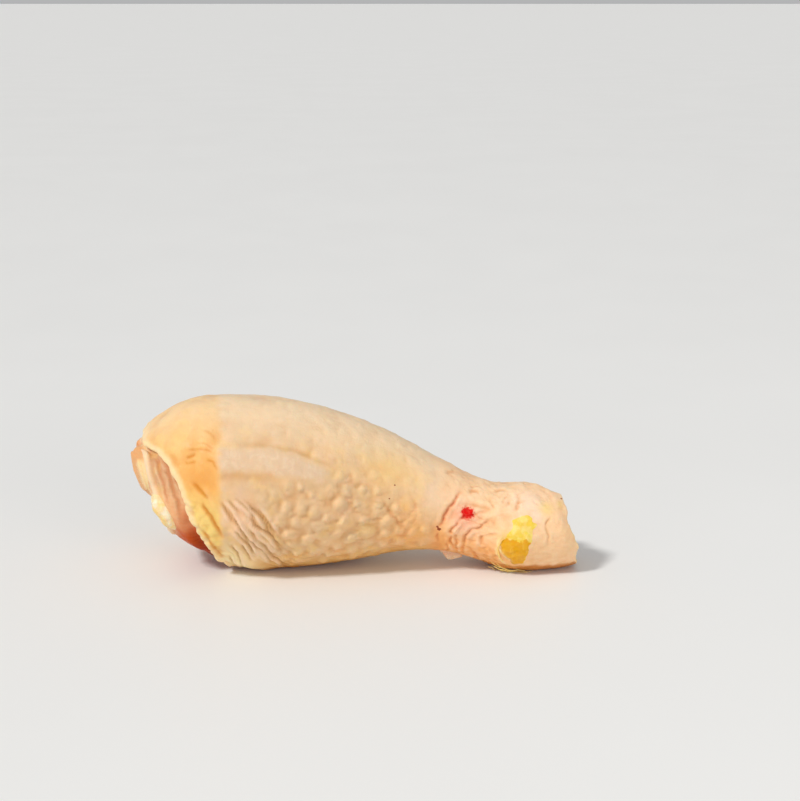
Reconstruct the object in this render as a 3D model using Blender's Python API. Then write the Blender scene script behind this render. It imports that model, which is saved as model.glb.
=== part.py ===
"""A raw chicken drumstick, lying on a flat surface: skin, meat, shin bone and a pad of knee fat.

+X runs from the cut knee to the cut hock, +Z is up, and the table is at Z = 0.
Places on the body are given as (along, angle): the share of LENGTH from the knee's tip,
and the degrees round the section, with 0 at the front (-Y), 90 on top and -90 underneath.
"""

import bpy
import bmesh
import numpy as np
from mathutils import Matrix, Vector

# Driving dimensions, in metres.
LENGTH = 0.140
CALF_HEIGHT = 0.0550
CALF_WIDTH = 0.0500
SAG = 0.0014  # how far the soft calf is pressed flat where it lies
SKIN = 0.0016
RIM_FAT = 0.0011  # the skin is thicker than that by this much at its knee edge
GAP = 0.0005  # between neighbours, so that no two solids overlap

# Grid of the lofts.
AROUND = 48
SKIN_ROWS = 47
INNER_ROWS = 11
DOME_ROWS = (0.07, 0.18, 0.34, 0.53, 0.72, 0.86, 0.95)  # shares of the way to the skin
BONE_AROUND = 16

# The body's sections: along, centre's height, half height, half width, shift to +Y. They are
# shares of CALF_HEIGHT, of half CALF_HEIGHT, and the last two of half CALF_WIDTH.
SECTIONS = (
    (0.000, 0.622, 0.000, 0.000, 0.360),
    (0.010, 0.629, 0.165, 0.230, 0.330),
    (0.031, 0.622, 0.350, 0.460, 0.250),
    (0.065, 0.580, 0.590, 0.670, 0.160),
    (0.110, 0.562, 0.780, 0.840, 0.080),
    (0.155, 0.545, 0.890, 0.930, 0.030),
    (0.200, 0.517, 0.978, 0.985, 0.000),
    (0.266, 0.502, 1.000, 1.000, 0.000),
    (0.344, 0.489, 0.982, 0.980, 0.000),
    (0.422, 0.477, 0.923, 0.915, 0.000),
    (0.511, 0.460, 0.817, 0.810, -0.008),
    (0.601, 0.436, 0.662, 0.665, -0.040),
    (0.690, 0.378, 0.540, 0.550, -0.088),
    (0.779, 0.302, 0.482, 0.485, -0.148),
    (0.824, 0.268, 0.504, 0.505, -0.172),
    (0.869, 0.262, 0.515, 0.520, -0.180),
    (0.930, 0.258, 0.496, 0.505, -0.140),
    (1.000, 0.262, 0.455, 0.465, -0.090),
)

# Edges of the skin round the section: angle, along.
KNEE_RIM = (
    (-90, 0.215), (-56, 0.190), (-30, 0.170), (-15, 0.151), (-4, 0.145), (10, 0.133),
    (22, 0.106), (30, 0.080), (38, 0.052), (72, 0.031), (110, 0.029), (180, 0.075),
    (225, 0.165),
)
HOCK_RIM = ((-90, 0.996), (-45, 0.992), (0, 0.979), (45, 0.968), (90, 0.963), (180, 0.972))
HOCK_CURL = 0.0030  # the skin turns in by this much round the hock's cut
KNEE_CURL = 0.0006

# Broad ridges and hollows of the skin: path of (along, angle), height and spread in metres.
RELIEF = (
    (((0.229, 32), (0.346, 32), (0.462, 17)), 0.0011, 0.0034),  # edge of the shin muscle
    (((0.220, 16), (0.340, 16), (0.440, 2)), -0.0008, 0.0034),
    (((0.240, 160), (0.420, 168), (0.580, 176)), -0.0010, 0.0045),  # cleft at the back
    (((0.240, -8), (0.284, -26), (0.335, -46)), 0.0012, 0.0030),  # folds under the knee
    (((0.228, -44), (0.285, -62), (0.330, -76)), 0.0012, 0.0030),
    (((0.230, -112), (0.270, -130), (0.330, -142)), 0.0011, 0.0032),
    (((0.220, -152), (0.270, -164), (0.320, -170)), 0.0011, 0.0032),
    (((0.724, 33), (0.683, -16), (0.683, -80)), -0.0008, 0.0030),  # ankle
    (((0.805, 50), (0.765, 14), (0.738, -30), (0.735, -80)), -0.0006, 0.0028),
    (((0.700, 110), (0.690, 150), (0.695, 200), (0.690, 250)), -0.0008, 0.0030),
    (((0.870, 20), (0.850, -6), (0.850, -60)), 0.0006, 0.0045),  # joint
)

# Clefts between the muscles on the cut knee: angle, depth, spread in degrees.
KNEE_CLEFTS = ((-8, 0.0012, 9), (-72, 0.0016, 10), (-128, 0.0016, 12), (175, 0.0012, 12))

# Shin bone: along, radius in metres. Its middle line runs straight from knee to hock.
BONE_RADII = (
    (0.010, 0.0000), (0.013, 0.0036), (0.023, 0.0063), (0.044, 0.0084), (0.078, 0.0095),
    (0.115, 0.0090), (0.165, 0.0062), (0.250, 0.0043), (0.500, 0.0037), (0.740, 0.0038),
    (0.860, 0.0048), (0.920, 0.0062), (0.950, 0.0065), (0.970, 0.0056), (0.982, 0.0034),
    (0.986, 0.0000),
)
BONE_KNEE = Vector((0.0, 0.0005, 0.0272))  # only Y and Z are used
BONE_HOCK = Vector((0.0, -0.0030, 0.0130))
KNEE_LEAN = 0.25  # the knee's head faces down and to the front by this slope
CONDYLE_SPLIT = 0.10  # how deep the hock's joint is waisted, as a share of its radius

# Pad of fat on the lower front of the knee.
FAT_CENTRE = Vector((-0.0570, -0.0120, 0.0210))
FAT_AXIS = Vector((0.0065, -0.0010, -0.0100))
FAT_RADII = (0.0042, 0.0036, 0.0070)

COLOURS = {
    "skin": (0.84, 0.55, 0.31),
    "meat": (0.62, 0.25, 0.13),
    "bone": (0.90, 0.74, 0.52),
    "knee_fat": (0.92, 0.76, 0.42),
}


def smooth_through(table, at):
    """A smooth curve through the rows (key, value) of a table, read at the given keys."""
    keys, values = np.array(table, float).T
    slopes = np.gradient(values, keys)
    at = np.clip(at, keys[0], keys[-1])
    left = np.clip(np.searchsorted(keys, at) - 1, 0, len(keys) - 2)
    span = keys[left + 1] - keys[left]
    u = (at - keys[left]) / span
    rise = values[left + 1] - values[left]
    ease = u * u * (3 - 2 * u)
    lean = u * (1 - u) * ((1 - u) * slopes[left] - u * slopes[left + 1]) * span
    return values[left] + rise * ease + lean


def round_through(table, degrees):
    """The same on a table that closes on itself after 360 degrees."""
    rows = list(table)
    before = [(angle - 360, value) for angle, value in rows[-3:]]
    after = [(angle + 360, value) for angle, value in rows[:3]]
    first = rows[0][0]
    return smooth_through(before + rows + after, (degrees - first) % 360 + first)


def step(low, high, at):
    """0 below low, 1 above high, and smooth between."""
    u = np.clip((at - low) / (high - low), 0, 1)
    return u * u * (3 - 2 * u)


def section(along):
    """Centre's height, half height, half width and side shift. The knee is round, so they
    are read against the square root of the distance from its tip."""
    root = np.sqrt(along)
    column = [[(np.sqrt(row[0]), row[i]) for row in SECTIONS] for i in range(1, 5)]
    height, tall, wide, aside = (smooth_through(table, root) for table in column)
    return (
        height * CALF_HEIGHT - SAG,
        tall * CALF_HEIGHT / 2,
        wide * CALF_WIDTH / 2,
        aside * CALF_WIDTH / 2,
    )


def knee_rim(degrees):
    return round_through(KNEE_RIM, degrees)


def hock_rim(degrees):
    return round_through(HOCK_RIM, degrees)


def ridge(along, degrees, path, height, spread):
    """Height of a rounded ridge along a path, at each place. It thins towards its ends."""
    girth = np.radians(1) * section(along)[1]
    nearest = np.full(along.shape, np.inf)
    travelled = np.zeros(along.shape)
    steps = [np.hypot((b[0] - a[0]) * LENGTH, np.radians(b[1] - a[1]) * 0.02)
             for a, b in zip(path, path[1:])]
    before = 0.0
    for (start, end), length in zip(zip(path, path[1:]), steps):
        run_x = (end[0] - start[0]) * LENGTH
        run_s = (end[1] - start[1]) * girth
        off_x = (along - start[0]) * LENGTH
        off_s = ((degrees - start[1] + 180) % 360 - 180) * girth
        share = (off_x * run_x + off_s * run_s) / (run_x**2 + run_s**2)
        share = np.clip(share, 0, 1)
        far = np.hypot(off_x - share * run_x, off_s - share * run_s)
        closer = far < nearest
        travelled = np.where(closer, (before + share * length) / sum(steps), travelled)
        nearest = np.where(closer, far, nearest)
        before += length
    thinning = 1 - 0.6 * (2 * travelled - 1) ** 4
    return height * thinning * np.exp(-((nearest / spread) ** 2))


def surface(along, degrees, inset, relief=False):
    """Points of the body's form, moved in by inset, and pressed flat on the table."""
    height, tall, wide, aside = section(along)
    angle = np.radians(degrees)
    body = step(0.08, 0.25, along)
    swell = 1 + body * (0.020 * np.cos(2 * angle - 1.1) + 0.014 * np.cos(3 * angle + 0.6))
    out = -inset
    if relief:
        for path, rise, spread in RELIEF:
            out = out + ridge(along, degrees, path, rise, spread)
    x = (along - 0.5) * LENGTH + 0 * angle
    y = aside - (wide * swell + out) * np.cos(angle)
    z = height + (tall * swell + out) * np.sin(angle)
    return np.stack([x, y, np.maximum(z, np.maximum(inset, 0))], axis=-1)


def curl(along, degrees):
    """How far the skin turns in towards its two cut edges."""
    to_hock = step(hock_rim(degrees) - 0.035, hock_rim(degrees), along)
    to_knee = step(-0.030, 0.0, knee_rim(degrees) - along)
    return HOCK_CURL * to_hock**2 + KNEE_CURL * to_knee


def skin_depth(along, degrees):
    """Thickness of the skin, which carries fat along its knee edge."""
    return SKIN + RIM_FAT * (1 - step(0.0, 0.07, along - knee_rim(degrees)))


def ring_angles():
    return np.arange(AROUND) * 360 / AROUND


def skin_places(rows, crowding):
    """(along, degrees) of a grid from the skin's knee edge to its hock edge. Crowding, from
    0 to 1, draws the rows together towards the two edges."""
    degrees = np.broadcast_to(ring_angles(), (rows, AROUND))
    share = np.linspace(0, 1, rows)[:, None]
    share = share + crowding * ((1 - np.cos(np.pi * share)) / 2 - share)
    return knee_rim(degrees) + share * (hock_rim(degrees) - knee_rim(degrees)), degrees


def loft(name, rings, end_to_end=False):
    """A mesh object through rings of points. Its ends are closed, or joined end to end. A
    ring of one point is a tip."""
    bm = bmesh.new()
    loops = [[bm.verts.new(point) for point in ring] for ring in rings]
    pairs = list(zip(loops, loops[1:]))
    if end_to_end:
        pairs.append((loops[-1], loops[0]))
    for here, there in pairs:
        count = max(len(here), len(there))
        for i in range(count):
            j = (i + 1) % count
            corners = [here[i % len(here)], there[i % len(there)],
                       there[j % len(there)], here[j % len(here)]]
            bm.faces.new(list(dict.fromkeys(corners)))
    if not end_to_end:
        for end in (loops[0], loops[-1]):
            if len(end) > 1:
                bm.faces.new(end)
    bmesh.ops.recalc_face_normals(bm, faces=bm.faces)
    bmesh.ops.triangulate(bm, faces=bm.faces, quad_method="SHORT_EDGE")
    return bmesh_object(name, bm)


def bmesh_object(name, bm):
    mesh = bpy.data.meshes.new(name)
    bm.to_mesh(mesh)
    bm.free()
    mesh.shade_smooth()
    return bpy.data.objects.new(name, mesh)


def make_skin():
    """The skin: out along its outer side, over the hock's edge and back along its inner side."""
    along, degrees = skin_places(SKIN_ROWS, 0.35)
    outer = surface(along, degrees, curl(along, degrees), relief=True)
    along, degrees = skin_places(INNER_ROWS, 1)
    depth = curl(along, degrees) + skin_depth(along, degrees)
    inner = surface(along, degrees, depth)
    return loft("skin", [*outer, *inner[::-1]], end_to_end=True)


def meat_inset(along, degrees):
    """The meat lies just under the skin, and swells out past the skin's knee edge."""
    under = curl(along, degrees) + skin_depth(along, degrees) + GAP
    rim = knee_rim(degrees)
    out = step(np.minimum(0.010, 0.2 * rim), np.minimum(0.050, 0.8 * rim), rim - along)
    inset = under * (1 - out)
    for angle, depth, spread in KNEE_CLEFTS:
        off = (degrees - angle + 180) % 360 - 180
        inset = inset + depth * out * np.exp(-((off / spread) ** 2))
    return inset * step(-0.002, 0.012, along)


def make_meat():
    """The meat: a round knee end, then on under the skin to just short of the hock's edge."""
    degrees = np.broadcast_to(ring_angles(), (len(DOME_ROWS), AROUND))
    along = np.array(DOME_ROWS)[:, None] * knee_rim(degrees)
    dome = surface(along, degrees, meat_inset(along, degrees))
    along, degrees = skin_places(INNER_ROWS, 1)
    under = surface(along, degrees, meat_inset(along, degrees))[:-1]
    tip = surface(np.zeros(1), np.zeros(1), np.zeros(1))
    end = under[-1].mean(axis=0, keepdims=True)
    return loft("meat", [tip, *dome, *under, end])


def bone_rings(grow):
    """Rings of the shin bone, grown outwards for the room it lies in."""
    rows = len(BONE_RADII)
    along = np.interp(np.linspace(0, rows - 1, 2 * rows - 1), range(rows),
                      [row[0] for row in BONE_RADII])
    radii = smooth_through(BONE_RADII, along)
    run, rise = np.gradient(along * LENGTH), np.gradient(radii)
    run[[0, -1]] = 0
    slant = np.hypot(run, rise)
    grown = zip(along, along - 0.5 - grow * rise / slant / LENGTH, radii + grow * run / slant)
    angle = np.radians(np.arange(BONE_AROUND) * 360 / BONE_AROUND)
    rings = []
    for share, x, radius in grown:
        middle = BONE_KNEE.lerp(BONE_HOCK, share)
        knee = 1 - step(0.05, 0.16, share)
        split = CONDYLE_SPLIT * step(0.86, 0.95, share) * np.cos(2 * angle)
        y = middle.y - radius * (1 - 0.10 * knee - split) * np.cos(angle)
        z = middle.z + radius * (1 + 0.04 * knee - split) * np.sin(angle)
        lean = KNEE_LEAN * knee * (y - middle.y + z - middle.z)
        ring = np.stack([x * LENGTH - lean, y, z], axis=-1)
        rings.append(ring if radius else ring.mean(axis=0, keepdims=True))
    return rings


def make_bone(name="bone", grow=0.0):
    return loft(name, bone_rings(grow))


def make_knee_fat(name="knee_fat", grow=0.0):
    """An egg-shaped pad that leans along the edge of the cut."""
    bm = bmesh.new()
    bmesh.ops.create_uvsphere(bm, u_segments=14, v_segments=9, radius=1.0)
    stretch = Matrix.Diagonal([radius + grow for radius in FAT_RADII]).to_4x4()
    lean = FAT_AXIS.to_track_quat("Z", "Y").to_matrix().to_4x4()
    bm.transform(Matrix.Translation(FAT_CENTRE) @ lean @ stretch)
    return bmesh_object(name, bm)


def cut(target, cutter):
    modifier = target.modifiers.new("clear_of_" + cutter.name, "BOOLEAN")
    modifier.operation = "DIFFERENCE"
    modifier.object = cutter


def collection(name, objects, helpers=False):
    made = bpy.data.collections.new(name)
    bpy.context.scene.collection.children.link(made)
    for obj in objects:
        made.objects.link(obj)
        if helpers:
            obj.hide_render = True
            obj.display_type = "WIRE"


def paint(obj, roughness):
    material = bpy.data.materials.new(obj.name)
    material.use_nodes = True
    shader = material.node_tree.nodes["Principled BSDF"]
    shader.inputs["Base Color"].default_value = (*COLOURS[obj.name], 1.0)
    shader.inputs["Roughness"].default_value = roughness
    shader.inputs["Metallic"].default_value = 0.0
    obj.data.materials.append(material)


def main():
    for obj in list(bpy.data.objects):
        bpy.data.objects.remove(obj)
    skin = make_skin()
    meat = make_meat()
    bone = make_bone()
    fat = make_knee_fat()
    bone_room = make_bone("bone_room", GAP)
    fat_room = make_knee_fat("fat_room", GAP)
    collection("drumstick", [skin, meat, bone, fat])
    collection("cutters", [bone_room, fat_room], helpers=True)
    cut(fat, bone_room)
    cut(meat, fat_room)
    cut(meat, bone_room)
    paint(skin, 0.42)
    paint(meat, 0.36)
    paint(bone, 0.30)
    paint(fat, 0.38)


main()
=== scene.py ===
"""Studio scene of a raw chicken drumstick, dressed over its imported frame.

+X runs from the cut knee to the cut hock, +Z is up, and the table is at Z = 0. A place on the
body is (along, degrees): the share of LENGTH from the knee's tip, and the angle round the
section, with 0 at the front (-Y), 90 on top and -90 underneath. The relief of a surface, and
the size of its lumps and lines, are in millimetres of this drumstick, MM.
"""

import bpy
import numpy as np
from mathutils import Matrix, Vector, noise


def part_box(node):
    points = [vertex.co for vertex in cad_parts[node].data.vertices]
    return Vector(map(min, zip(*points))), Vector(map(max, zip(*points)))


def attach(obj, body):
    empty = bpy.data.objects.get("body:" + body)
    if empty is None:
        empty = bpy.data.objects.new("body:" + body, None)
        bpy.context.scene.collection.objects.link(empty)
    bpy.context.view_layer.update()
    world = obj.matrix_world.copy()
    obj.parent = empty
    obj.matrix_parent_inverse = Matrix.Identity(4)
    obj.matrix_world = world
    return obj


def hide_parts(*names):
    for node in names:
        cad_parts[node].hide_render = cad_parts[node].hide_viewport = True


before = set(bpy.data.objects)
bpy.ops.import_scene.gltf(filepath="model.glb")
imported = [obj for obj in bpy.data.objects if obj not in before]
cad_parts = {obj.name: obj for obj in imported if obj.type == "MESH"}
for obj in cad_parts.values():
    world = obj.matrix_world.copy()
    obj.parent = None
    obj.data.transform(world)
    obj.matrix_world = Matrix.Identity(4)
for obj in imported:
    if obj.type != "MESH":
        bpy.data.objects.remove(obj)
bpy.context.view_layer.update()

# Driving sizes, in metres, from the frame. MM is a millimetre on this drumstick.
skin_low, skin_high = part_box("skin")
LENGTH = -2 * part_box("meat")[0].x
MM = LENGTH / 140
CALF_HEIGHT = 1.0189 * skin_high.z
CALF_WIDTH = 0.9747 * (skin_high.y - skin_low.y)
SAG = 1.4 * MM
SKIN = 1.6 * MM
RIM_FAT = 1.1 * MM
FLOOR_BEND = 0.45 * MM  # how softly the skin bends where it starts to lie on the table
HOCK_CURL = 1.2 * MM  # the skin turns in by this much round the hock's cut
KNEE_CURL = 0.6 * MM
EDGE_BULGE = 0.85  # how round the skin's cut edges are, with 1 for a half circle

# Rows and columns of the pieces' grids. LUMP_AROUND is for the bone and the fat.
AROUND = 300
OUTER_ROWS = 280
INNER_ROWS = 14
EDGE_ROWS = 7
MEAT_AROUND = 240
DOME_ROWS = 74
UNDER_ROWS = 16
CUT_ROWS = 14
LUMP_AROUND = 96
BONE_ROWS = 150
FAT_ROWS = 90
SHRED_COLUMNS = 60
SHRED_ROWS = 24
THREAD_SIDES = 8
TABLE_CELLS = 60

# The body's sections: along, centre's height, half height, half width, shift to +Y, as shares
# of CALF_HEIGHT, of half CALF_HEIGHT, and the last two of half CALF_WIDTH.
SECTIONS = (
    (0.000, 0.622, 0.000, 0.000, 0.360),
    (0.010, 0.629, 0.165, 0.230, 0.330),
    (0.031, 0.622, 0.350, 0.460, 0.250),
    (0.065, 0.580, 0.590, 0.670, 0.160),
    (0.110, 0.562, 0.780, 0.840, 0.080),
    (0.155, 0.545, 0.890, 0.930, 0.030),
    (0.200, 0.517, 0.978, 0.985, 0.000),
    (0.266, 0.502, 1.000, 1.000, 0.000),
    (0.344, 0.489, 0.982, 0.980, 0.000),
    (0.422, 0.477, 0.923, 0.915, 0.000),
    (0.511, 0.460, 0.817, 0.810, -0.008),
    (0.601, 0.436, 0.662, 0.665, -0.040),
    (0.690, 0.378, 0.540, 0.550, -0.088),
    (0.779, 0.302, 0.482, 0.485, -0.148),
    (0.824, 0.268, 0.504, 0.505, -0.172),
    (0.869, 0.262, 0.515, 0.520, -0.180),
    (0.930, 0.258, 0.496, 0.505, -0.140),
    (1.000, 0.262, 0.455, 0.465, -0.090),
)

# Edges of the skin round the section, and where the orange fat of the knee ends: angle, along.
KNEE_RIM = (
    (-90, 0.222), (-60, 0.205), (-49, 0.189), (-38, 0.175), (-27, 0.157), (-16, 0.143),
    (-7, 0.137), (5, 0.124), (15, 0.109), (24, 0.091), (32, 0.072), (40, 0.044), (60, 0.028),
    (110, 0.029), (180, 0.075), (225, 0.165),
)
HOCK_RIM = (
    (-90, 0.993), (-60, 0.992), (-42, 0.990), (-28, 0.989), (-14, 0.986), (-1, 0.982),
    (12, 0.975), (24, 0.967), (40, 0.967), (58, 0.961), (74, 0.952), (86, 0.932), (100, 0.914),
    (135, 0.925), (180, 0.955), (225, 0.985),
)
BAND_EDGE = (
    (-90, 0.226), (-54, 0.212), (-10, 0.220), (16, 0.222), (42, 0.219), (80, 0.207),
    (120, 0.190), (180, 0.215), (225, 0.235),
)

# Broad ridges and hollows of the skin: path, height, spread.
RELIEF = (
    (((0.240, 160), (0.420, 168), (0.580, 176)), -1.0, 4.5),
    (((0.240, -8), (0.284, -26), (0.335, -46)), 0.9, 3.0),
    (((0.228, -44), (0.285, -62), (0.330, -76)), 0.9, 3.0),
    (((0.230, -112), (0.270, -130), (0.330, -142)), 1.0, 3.2),
    (((0.220, -152), (0.270, -164), (0.320, -170)), 1.0, 3.2),
    (((0.724, 33), (0.683, -16), (0.683, -80)), -0.6, 3.0),
    (((0.805, 50), (0.765, 14), (0.738, -30), (0.735, -80)), -0.4, 3.0),
    (((0.700, 110), (0.690, 150), (0.695, 200), (0.690, 250)), -0.8, 3.0),
    (((0.870, 20), (0.850, -6), (0.850, -60)), 0.6, 4.5),
)

# The smooth strip over the shin muscle's tendon: its middle line, and its half width at its
# start, two thirds along and at its end.
TENDON_STRIP = ((0.196, 28), (0.250, 29), (0.330, 29), (0.400, 26), (0.470, 23))
TENDON_HALF_WIDTH = (3.7, 3.9, 1.7)
TENDON_RISE = 0.34

# Stretches space along the way that the skin's fine wrinkles run, and along the body, the way
# that fibres run.
SLANT = np.array([[0.75, 0, -0.35], [0, 1.0, 0], [0.35, 0, 1.0]])
FIBRES = np.diag((0.35, 1.0, 1.0))

# Creases of the slack skin under the knee: path, depth, and the side where the skin swells
# beside them, 1 towards the hock and -1 towards the knee.
FOLDS = (
    (((0.264, 7), (0.289, -1), (0.299, -4), (0.307, -7), (0.317, -14), (0.322, -19)), 0.60, -1),
    (((0.268, -1), (0.286, -9), (0.302, -14), (0.323, -19), (0.334, -24), (0.340, -32),
      (0.351, -52)), 0.62, -1),
    (((0.232, 1), (0.248, -8), (0.261, -15), (0.275, -22), (0.295, -30), (0.308, -37)), 0.58, 1),
    (((0.288, -27), (0.307, -33), (0.316, -42), (0.322, -54)), 0.55, -1),
    (((0.312, -30), (0.327, -40), (0.339, -48), (0.350, -67)), 0.55, -1),
    (((0.260, -26), (0.270, -37), (0.277, -50)), 0.34, 1),
    (((0.270, -21), (0.280, -31), (0.286, -45)), 0.34, 1),
    (((0.221, 3), (0.234, -4), (0.246, -13)), 0.26, -1),
    (((0.236, 5), (0.249, 0), (0.262, -4)), 0.26, -1),
    (((0.250, 6), (0.268, 1), (0.284, -4), (0.298, -10)), 0.30, -1),
    (((0.244, -14), (0.262, -22), (0.280, -31), (0.292, -42)), 0.32, -1),
    (((0.276, -14), (0.294, -22), (0.312, -30), (0.326, -44)), 0.34, 1),
    (((0.296, 0), (0.312, -6), (0.326, -14), (0.336, -22)), 0.28, 1),
    (((0.238, -28), (0.249, -42), (0.256, -58)), 0.34, 1),
    (((0.228, -42), (0.236, -56), (0.242, -70)), 0.34, 1),
    (((0.238, -104), (0.268, -118), (0.296, -128)), 0.50, 1),
    (((0.232, -134), (0.268, -146), (0.310, -152)), 0.55, -1),
)

# Folds (above 0) and grooves (below 0) in the fat band, where the grooves carry the fat's own orange streaks
# and painted shade: path, height, spread.
BAND_FOLDS = (
    (((0.178, 0), (0.190, -6), (0.200, -11), (0.214, -18), (0.222, -26)), -0.60, 0.60),
    (((0.182, 10), (0.200, 2), (0.216, -6), (0.228, -18)), 0.45, 0.90),
    (((0.168, -14), (0.186, -26), (0.202, -44)), 0.40, 1.10),
    (((0.178, -20), (0.196, -34), (0.210, -52)), -0.35, 0.80),
    (((0.140, 28), (0.154, 28), (0.167, 30)), -0.12, 0.48),
    (((0.142, 24), (0.154, 24), (0.169, 25)), -0.10, 0.40),
    (((0.140, 32), (0.179, 34), (0.206, 32)), -0.08, 0.40),
    (((0.161, 38), (0.186, 38), (0.209, 34)), -0.06, 0.40),
    (((0.177, 48), (0.197, 46), (0.212, 40)), -0.05, 0.40),
    (((0.187, 28), (0.204, 26), (0.215, 21)), -0.09, 0.40),
    (((0.157, 10), (0.181, 6), (0.200, 3)), -0.30, 0.65),
    (((0.190, -96), (0.206, -112), (0.214, -130)), 0.40, 1.00),
    (((0.110, 176), (0.130, 184), (0.150, 196)), -0.04, 0.80),
)

# Creases of the ankle and the hock: path, depth, width, redness.
CREASES = (
    (((0.735, 46), (0.720, 28), (0.707, 14), (0.693, -2), (0.685, -16)), 0.60, 0.42, 1.0),
    (((0.684, -18), (0.683, -27), (0.681, -42)), 0.32, 0.36, 0.3),
    (((0.800, 34), (0.774, 24), (0.747, 13), (0.722, -1), (0.711, -14), (0.715, -42),
      (0.718, -62)), 0.60, 0.40, 0.3),
    (((0.813, 28), (0.791, 17), (0.770, 4), (0.752, -7), (0.740, -26), (0.737, -55),
      (0.738, -70)), 0.58, 0.38, 0.1),
    (((0.735, 0), (0.726, -10), (0.722, -24), (0.723, -45), (0.727, -62)), 0.46, 0.38, 0.2),
    (((0.768, -18), (0.780, -7), (0.796, 1), (0.816, 6)), 0.34, 0.36, 0.1),
    (((0.780, -6), (0.777, -15), (0.780, -25)), 0.36, 0.36, 0.1),
    (((0.796, 46), (0.800, 42), (0.804, 36)), 0.38, 0.36, 0.1),
    (((0.842, 54), (0.835, 46), (0.828, 40)), 0.38, 0.38, 0.0),
    (((0.866, 52), (0.857, 45), (0.849, 38)), 0.40, 0.42, 0.0),
    (((0.750, 30), (0.776, 31), (0.800, 33)), 0.26, 0.50, 0.0),
    (((0.776, -28), (0.790, -22), (0.806, -22)), 0.30, 0.36, 0.1),
    (((0.760, -40), (0.768, -54), (0.772, -70)), 0.40, 0.45, 0.2),
    (((0.699, -34), (0.704, -52), (0.702, -72)), 0.34, 0.45, 0.2),
    (((0.870, 106), (0.875, 90), (0.878, 76)), 0.30, 0.38, 0.0),
    (((0.886, 56), (0.894, 48), (0.902, 42)), 0.24, 0.34, 0.0),
    (((0.931, 33), (0.917, 20), (0.922, 6), (0.918, -12)), 0.28, 0.32, 0.0),
    (((0.746, 44), (0.762, 52), (0.780, 56)), 0.32, 0.50, 0.0),
    (((0.806, 60), (0.820, 68), (0.838, 70)), 0.28, 0.50, 0.0),
    (((0.704, 60), (0.712, 70), (0.718, 80)), 0.28, 0.60, 0.0),
    (((0.562, 10), (0.576, 0), (0.590, -10), (0.604, -18)), 0.34, 0.34, 0.1),
    (((0.615, 20), (0.632, 8), (0.640, -8)), 0.20, 0.50, 0.0),
)
HIDDEN_CREASES = 16

# Feather bumps: the gap between two, the height of the tallest, and how many places are tried.
BUMP_GAP = 3.95
BUMP_HEIGHT = 0.80
BUMP_TRIES = 9000

# Yellow scale skin on the hock: its outline.
CUTICLE = (
    (0.847, 26), (0.862, 29), (0.884, 30), (0.884, 22), (0.897, 22), (0.888, 13), (0.887, 1),
    (0.878, -11), (0.877, -24), (0.868, -36), (0.856, -38), (0.840, -31), (0.826, -20),
    (0.818, -9), (0.822, -2), (0.834, 2), (0.832, 7), (0.846, 12), (0.847, 20),
)
# Curls of pale film along the patch.
FILM_LINES = (
    ((0.822, 4), (0.815, -2), (0.813, -12), (0.822, -19), (0.836, -28), (0.854, -36)),
    ((0.811, -8), (0.812, -22), (0.821, -34), (0.837, -46)),
    ((0.803, -50), (0.821, -54), (0.839, -56), (0.858, -53), (0.876, -56)),
)
# Threads that have come loose under the patch: path, distance from the skin.
THREADS = (
    (((0.800, -46), (0.821, -56), (0.839, -60), (0.856, -58), (0.878, -57)), 0.45),
    (((0.808, -54), (0.826, -66), (0.846, -70), (0.868, -64), (0.884, -58)), 1.00),
    (((0.826, 2), (0.816, -8), (0.814, -20), (0.822, -33), (0.838, -45)), 0.20),
    (((0.796, -58), (0.814, -72), (0.836, -80), (0.862, -76), (0.890, -66)), 1.30),
    (((0.812, -40), (0.828, -54), (0.848, -64), (0.872, -66), (0.894, -60)), 0.70),
    (((0.802, -62), (0.824, -60), (0.850, -66), (0.880, -72)), 0.80),
)
# The shred of clear skin under the ankle: where it hangs from, and how far down it hangs at
# each share of its width.
SHRED_ROOT = ((0.690, -76), (0.705, -79), (0.722, -80), (0.740, -80))
SHRED_DROPS = ((0.0, -0.5), (0.18, -1.8), (0.34, -2.3), (0.60, -1.9), (0.85, -1.0), (1.0, -0.4))

# Soft patches of colour: mask, strength, middle, spread along and round, and by how many
# degrees rough noise pushes them about.
PATCHES = (
    ("saturated", 1.00, (0.180, 14), (0.050, 26), 0),
    ("ruddy", 0.30, (0.800, -4), (0.060, 22), 0),
    ("ruddy", 0.70, (0.620, -24), (0.050, 30), 0),
    ("pink", 1.00, (0.742, 8), (0.030, 26), 0),
    ("pink", 0.50, (0.262, -4), (0.030, 16), 0),
    ("pale", 0.50, (0.668, 28), (0.032, 24), 0),
    ("pale", 0.80, (0.885, 50), (0.050, 22), 6),
    ("pale", 1.20, (0.898, 33), (0.018, 10), 0),
    ("yellowish", 1.00, (0.918, 41), (0.016, 11), 0),
    ("yellowish", 0.80, (0.950, 48), (0.008, 7), 0),
    ("yellowish", 1.00, (0.842, -57), (0.036, 15), 0),
    ("yellowish", 1.00, (0.828, 1), (0.014, 10), 0),
    ("golden", 1.00, (0.585, 36), (0.060, 22), 4),
    ("dusky", 0.55, (0.588, 16), (0.034, 9), 0),
    # The dusky patch below the tendon strip is painted shade.
    ("dusky", 0.80, (0.262, 11), (0.042, 11), 0),
    ("dusky", 0.42, (0.335, 44), (0.100, 14), 0),
)

# Spots on the skin: place, radius.
BLOOD_SPOT = ((0.747, 18), 1.75)
DARK_SPOTS = (
    ((0.685, -15), 0.62), ((0.682, -12), 0.38), ((0.589, 23), 0.30), ((0.578, 10), 0.22),
    ((0.594, 79), 0.24), ((0.954, 60), 0.34),
)

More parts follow.
